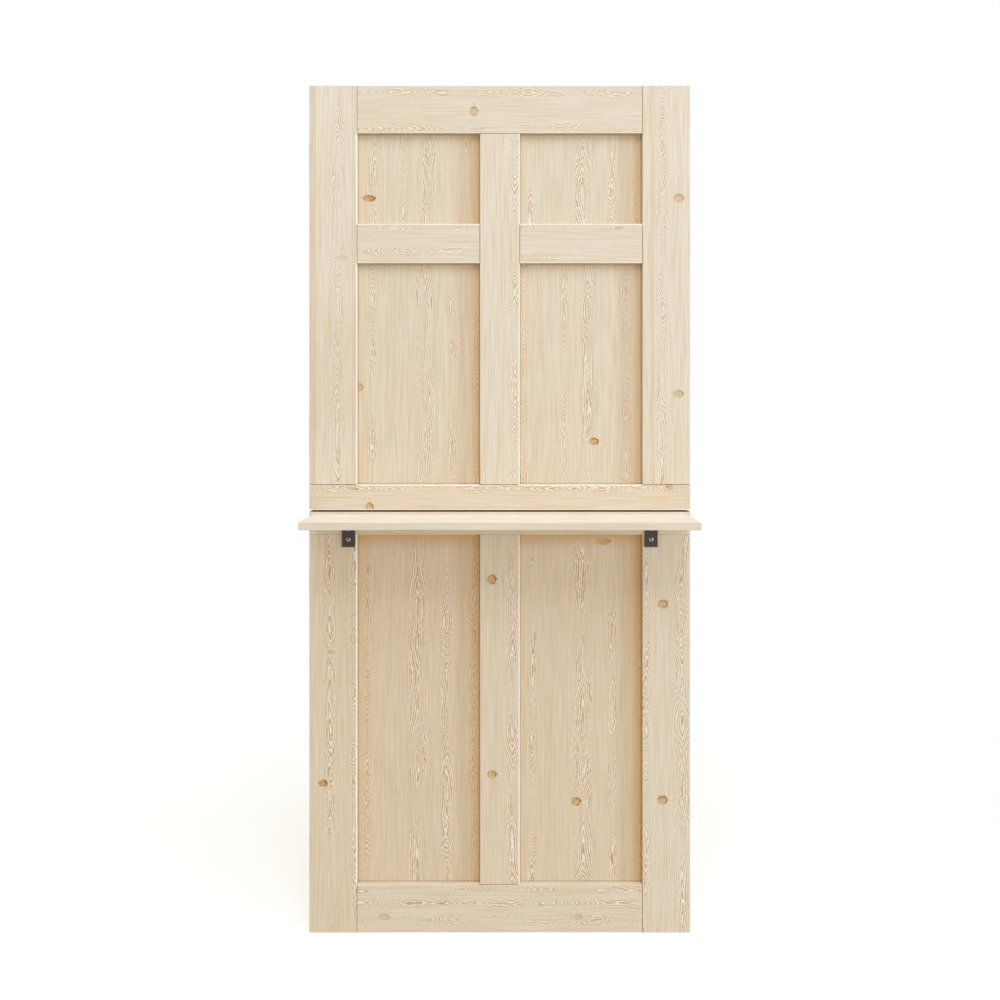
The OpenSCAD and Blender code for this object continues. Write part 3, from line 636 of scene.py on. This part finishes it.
def satin_steel(metal):
    """Satin-brushed steel. Brushed upright, so the eye sees fine upright hairlines and a soft highlight."""
    made = empty_material("satin_steel")
    tree = made.node_tree
    local = put(tree, "ShaderNodeTexCoord")
    # Hairlines of about 0.1 mm are drawn at 0.6 mm so that they show
    hair_at = put(tree, "ShaderNodeVectorMath",
                  {0: local.outputs["Object"], 1: per_metre(0.6, 0.6, 30)},
                  operation="MULTIPLY").outputs[0]
    hair = put(tree, "ShaderNodeTexNoise", {"Vector": hair_at, "Scale": 1.0, "Detail": 2.0}).outputs[0]
    tone = put(tree, "ShaderNodeValToRGB", {0: hair}, stops=(
        (0.3, between(metal.steel, BLACK, 0.3)), (0.7, metal.steel)))
    rough = put(tree, "ShaderNodeMapRange", {0: hair, 3: 0.28, 4: 0.46}).outputs[0]
    relief = put(tree, "ShaderNodeBump", {"Strength": 0.15, "Distance": 0.05 * MM, "Height": hair})
    skin = put(tree, "ShaderNodeBsdfPrincipled", {
        "Base Color": tone.outputs[0], "Roughness": rough, "Metallic": 1.0, "Normal": relief.outputs[0]})
    put(tree, "ShaderNodeOutputMaterial", {"Surface": skin.outputs[0]})
    return made


def dress(node, finish):
    """Gives a piece its finish in every slot."""
    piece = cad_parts[node]
    if not piece.material_slots:
        raise RuntimeError(node + " has no slot for a finish")
    for slot in piece.material_slots:
        slot.link = "OBJECT"
        slot.material = finish


def dress_boards(boards, wood):
    """Gives each board a pine of its own."""
    for board in boards:
        dress(board.node, planed_pine(board, wood))


def nodes_with(word):
    """Names of the pieces that are named for a thing."""
    found = [name for name in sorted(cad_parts) if word in name]
    if not found:
        raise RuntimeError("no piece is named for " + word)
    return found


class STABLE_DOOR_OT_stiles(bpy.types.Operator):
    """Gives the four stiles their pine"""
    bl_idname = "stable_door.stiles"
    bl_label = "Finish the stiles"

    def execute(self, context):
        dress_boards(STILES, context.scene.door_pine)
        return {"FINISHED"}


class STABLE_DOOR_OT_mullions(bpy.types.Operator):
    """Gives the two mullions their pine"""
    bl_idname = "stable_door.mullions"
    bl_label = "Finish the mullions"

    def execute(self, context):
        dress_boards(MULLIONS, context.scene.door_pine)
        return {"FINISHED"}


class STABLE_DOOR_OT_rails(bpy.types.Operator):
    """Gives the rails of both leaves their pine"""
    bl_idname = "stable_door.rails"
    bl_label = "Finish the rails"

    def execute(self, context):
        dress_boards(RAILS, context.scene.door_pine)
        return {"FINISHED"}


class STABLE_DOOR_OT_panels(bpy.types.Operator):
    """Gives the six panels their glued-up pine"""
    bl_idname = "stable_door.panels"
    bl_label = "Finish the panels"

    def execute(self, context):
        dress_boards(PANELS, context.scene.door_pine)
        return {"FINISHED"}


class STABLE_DOOR_OT_shelf(bpy.types.Operator):
    """Gives the shelf board its pine"""
    bl_idname = "stable_door.shelf"
    bl_label = "Finish the shelf"

    def execute(self, context):
        dress_boards((SHELF,), context.scene.door_pine)
        return {"FINISHED"}


class STABLE_DOOR_OT_dowels(bpy.types.Operator):
    """Gives the joint dowels their beech"""
    bl_idname = "stable_door.dowels"
    bl_label = "Finish the dowels"

    def execute(self, context):
        beech = turned_beech()
        for node in nodes_with("dowels"):
            dress(node, beech)
        return {"FINISHED"}


class STABLE_DOOR_OT_brackets(bpy.types.Operator):
    """Gives the shelf brackets their black coat and their screws their zinc"""
    bl_idname = "stable_door.brackets"
    bl_label = "Finish the brackets and their screws"

    def execute(self, context):
        metal = context.scene.door_metal
        coat = powder_coated_steel(metal)
        for node in ("left_bracket", "right_bracket"):
            dress(node, coat)
        for node, rows in BRACKET_SCREWS.items():
            dress(node, zinc_plated_steel(metal, node, rows))
        return {"FINISHED"}


class STABLE_DOOR_OT_hinges(bpy.types.Operator):
    """Gives the hinges and their screws their satin steel"""
    bl_idname = "stable_door.hinges"
    bl_label = "Finish the hinges"

    def execute(self, context):
        steel = satin_steel(context.scene.door_metal)
        for node in nodes_with("hinge"):
            dress(node, steel)
        return {"FINISHED"}


# The studio, in metres. The floor lies a hair below the door, and is plain white beyond the door's shadow,
# which is lifted towards white and fades between two distances
FLOOR_HALF, FLOOR_DROP = 20, 0.0005
SHADOW_NEAR, SHADOW_FAR, SHADOW_LIFT = 0.7, 1.8, 0.38
# Where each soft box stands, and how wide and high it is: far on the right, above the front, straight above,
# and low behind for the back of the door. All of them face the middle of the door
SOFT_BOXES = {
    "side": ((12.2, -6.0, 2.0), (4.8, 6.0)),
    "top": ((0.2, -4.4, 9.2), (7.0, 5.5)),
    "overhead": ((0.0, -1.0, 9.0), (3.0, 2.0)),
    "back": ((-4.4, 6.6, 0.55), (4.4, 1.0)),
}
FACED = Vector((0, 0, 1.0))
# The camera stands a hair right of the middle, and its picture is shifted down to take in the whole door
EYE_X, SENSOR, PICTURE_SHIFT = 0.0005, 36, -0.086


def seen(tree):
    """1 for a ray from the camera, or one that a mirror or glass sends on, and 0 for light on the door."""
    path = put(tree, "ShaderNodeLightPath")
    ray = put(tree, "ShaderNodeMath", {0: path.outputs["Is Camera Ray"], 1: path.outputs["Is Glossy Ray"]},
              operation="MAXIMUM").outputs[0]
    return put(tree, "ShaderNodeMath", {0: ray, 1: path.outputs["Is Transmission Ray"]},
               operation="MAXIMUM").outputs[0]


def white_paper():
    """White paper. Matt, so the eye sees plain white, a shade darker only in the door's own shadow."""
    made = empty_material("white_paper")
    tree = made.node_tree
    local = put(tree, "ShaderNodeTexCoord")
    away = put(tree, "ShaderNodeVectorMath", {0: local.outputs["Object"]},
               operation="LENGTH").outputs["Value"]
    away = put(tree, "ShaderNodeMapRange", {0: away, 1: SHADOW_NEAR, 2: SHADOW_FAR},
               interpolation_type="SMOOTHSTEP").outputs[0]
    matt = put(tree, "ShaderNodeBsdfDiffuse", {"Color": linear("#d6d6d4")}).outputs[0]
    lift = put(tree, "ShaderNodeEmission", {"Color": WHITE, "Strength": SHADOW_LIFT}).outputs[0]
    near = put(tree, "ShaderNodeAddShader", {0: matt, 1: lift}).outputs[0]
    far = put(tree, "ShaderNodeEmission", {"Color": WHITE, "Strength": 1.0}).outputs[0]
    sight = put(tree, "ShaderNodeMixShader", {0: away, 1: near, 2: far}).outputs[0]
    surface = put(tree, "ShaderNodeMixShader", {0: seen(tree), 1: matt, 2: sight}).outputs[0]
    put(tree, "ShaderNodeOutputMaterial", {"Surface": surface})
    return made


class STABLE_DOOR_OT_stage(bpy.types.Operator):
    """Sets up the floor, the studio light and the camera"""
    bl_idname = "stable_door.stage"
    bl_label = "Set up the studio"

    def execute(self, context):
        scene, stage = context.scene, context.scene.door_stage
        scene.view_settings.view_transform = "Standard"

        sheet = bpy.data.meshes.new("studio_floor")
        shape = bmesh.new()
        bmesh.ops.create_grid(shape, x_segments=4, y_segments=4, size=FLOOR_HALF)
        shape.to_mesh(sheet)
        shape.free()
        floor = bpy.data.objects.new("studio_floor", sheet)
        floor.location.z = -FLOOR_DROP
        floor.data.materials.append(white_paper())
        scene.collection.objects.link(floor)

        room = bpy.data.worlds.new("studio_room")
        room.use_nodes = True
        tree = room.node_tree
        tree.nodes.clear()
        even = put(tree, "ShaderNodeBackground",
                   {"Color": stage.room_tint, "Strength": stage.room}).outputs[0]
        white = put(tree, "ShaderNodeBackground", {"Color": WHITE, "Strength": 1.0}).outputs[0]
        both = put(tree, "ShaderNodeMixShader", {0: seen(tree), 1: even, 2: white}).outputs[0]
        put(tree, "ShaderNodeOutputWorld", {"Surface": both})
        scene.world = room

        for name, (place, size) in SOFT_BOXES.items():
            lamp = bpy.data.lights.new(name + "_softbox", "AREA")
            lamp.shape, lamp.energy, lamp.color = "RECTANGLE", getattr(stage, name), stage.lamp_tint
            lamp.size, lamp.size_y = size
            held = bpy.data.objects.new(name + "_softbox", lamp)
            held.location = place
            held.rotation_euler = (FACED - Vector(place)).to_track_quat("-Z", "Y").to_euler()
            held.visible_camera = False
            scene.collection.objects.link(held)

        view = bpy.data.cameras.new("front_view")
        view.lens, view.sensor_width, view.shift_y = stage.lens, SENSOR, PICTURE_SHIFT
        eye = bpy.data.objects.new("front_view", view)
        eye.location = (EYE_X, FRONT - stage.distance, stage.eye_height)
        eye.rotation_euler = (pi / 2, 0, 0)
        scene.collection.objects.link(eye)
        scene.camera = eye
        return {"FINISHED"}


class STABLE_DOOR_PT_sidebar(bpy.types.Panel):
    """Lists the settings of the door's finishes and studio, and the steps that make them"""
    bl_label = "Stable Door"
    bl_idname = "STABLE_DOOR_PT_sidebar"
    bl_space_type = "VIEW_3D"
    bl_region_type = "UI"
    bl_category = "Stable Door"

    def draw(self, context):
        for group in (context.scene.door_pine, context.scene.door_metal, context.scene.door_stage):
            box = self.layout.box()
            for name in group.__annotations__:
                box.prop(group, name)
        for operator in OPERATORS:
            self.layout.operator(operator.bl_idname)


GROUPS = (("door_pine", DoorPine), ("door_metal", DoorMetal), ("door_stage", DoorStage))
OPERATORS = (
    STABLE_DOOR_OT_stiles, STABLE_DOOR_OT_mullions, STABLE_DOOR_OT_rails, STABLE_DOOR_OT_panels,
    STABLE_DOOR_OT_shelf, STABLE_DOOR_OT_dowels, STABLE_DOOR_OT_brackets, STABLE_DOOR_OT_hinges,
    STABLE_DOOR_OT_stage)


def register():
    for name, group in GROUPS:
        bpy.utils.register_class(group)
        setattr(bpy.types.Scene, name, PointerProperty(type=group))
    for operator in OPERATORS:
        bpy.utils.register_class(operator)
    bpy.utils.register_class(STABLE_DOOR_PT_sidebar)


def unregister():
    bpy.utils.unregister_class(STABLE_DOOR_PT_sidebar)
    for operator in reversed(OPERATORS):
        bpy.utils.unregister_class(operator)
    for name, group in reversed(GROUPS):
        delattr(bpy.types.Scene, name)
        bpy.utils.unregister_class(group)


def main():
    register()
    bpy.ops.stable_door.stiles()
    bpy.ops.stable_door.mullions()
    bpy.ops.stable_door.rails()
    bpy.ops.stable_door.panels()
    bpy.ops.stable_door.shelf()
    bpy.ops.stable_door.dowels()
    bpy.ops.stable_door.brackets()
    bpy.ops.stable_door.hinges()
    bpy.ops.stable_door.stage()


if __name__ == "__main__":
    main()
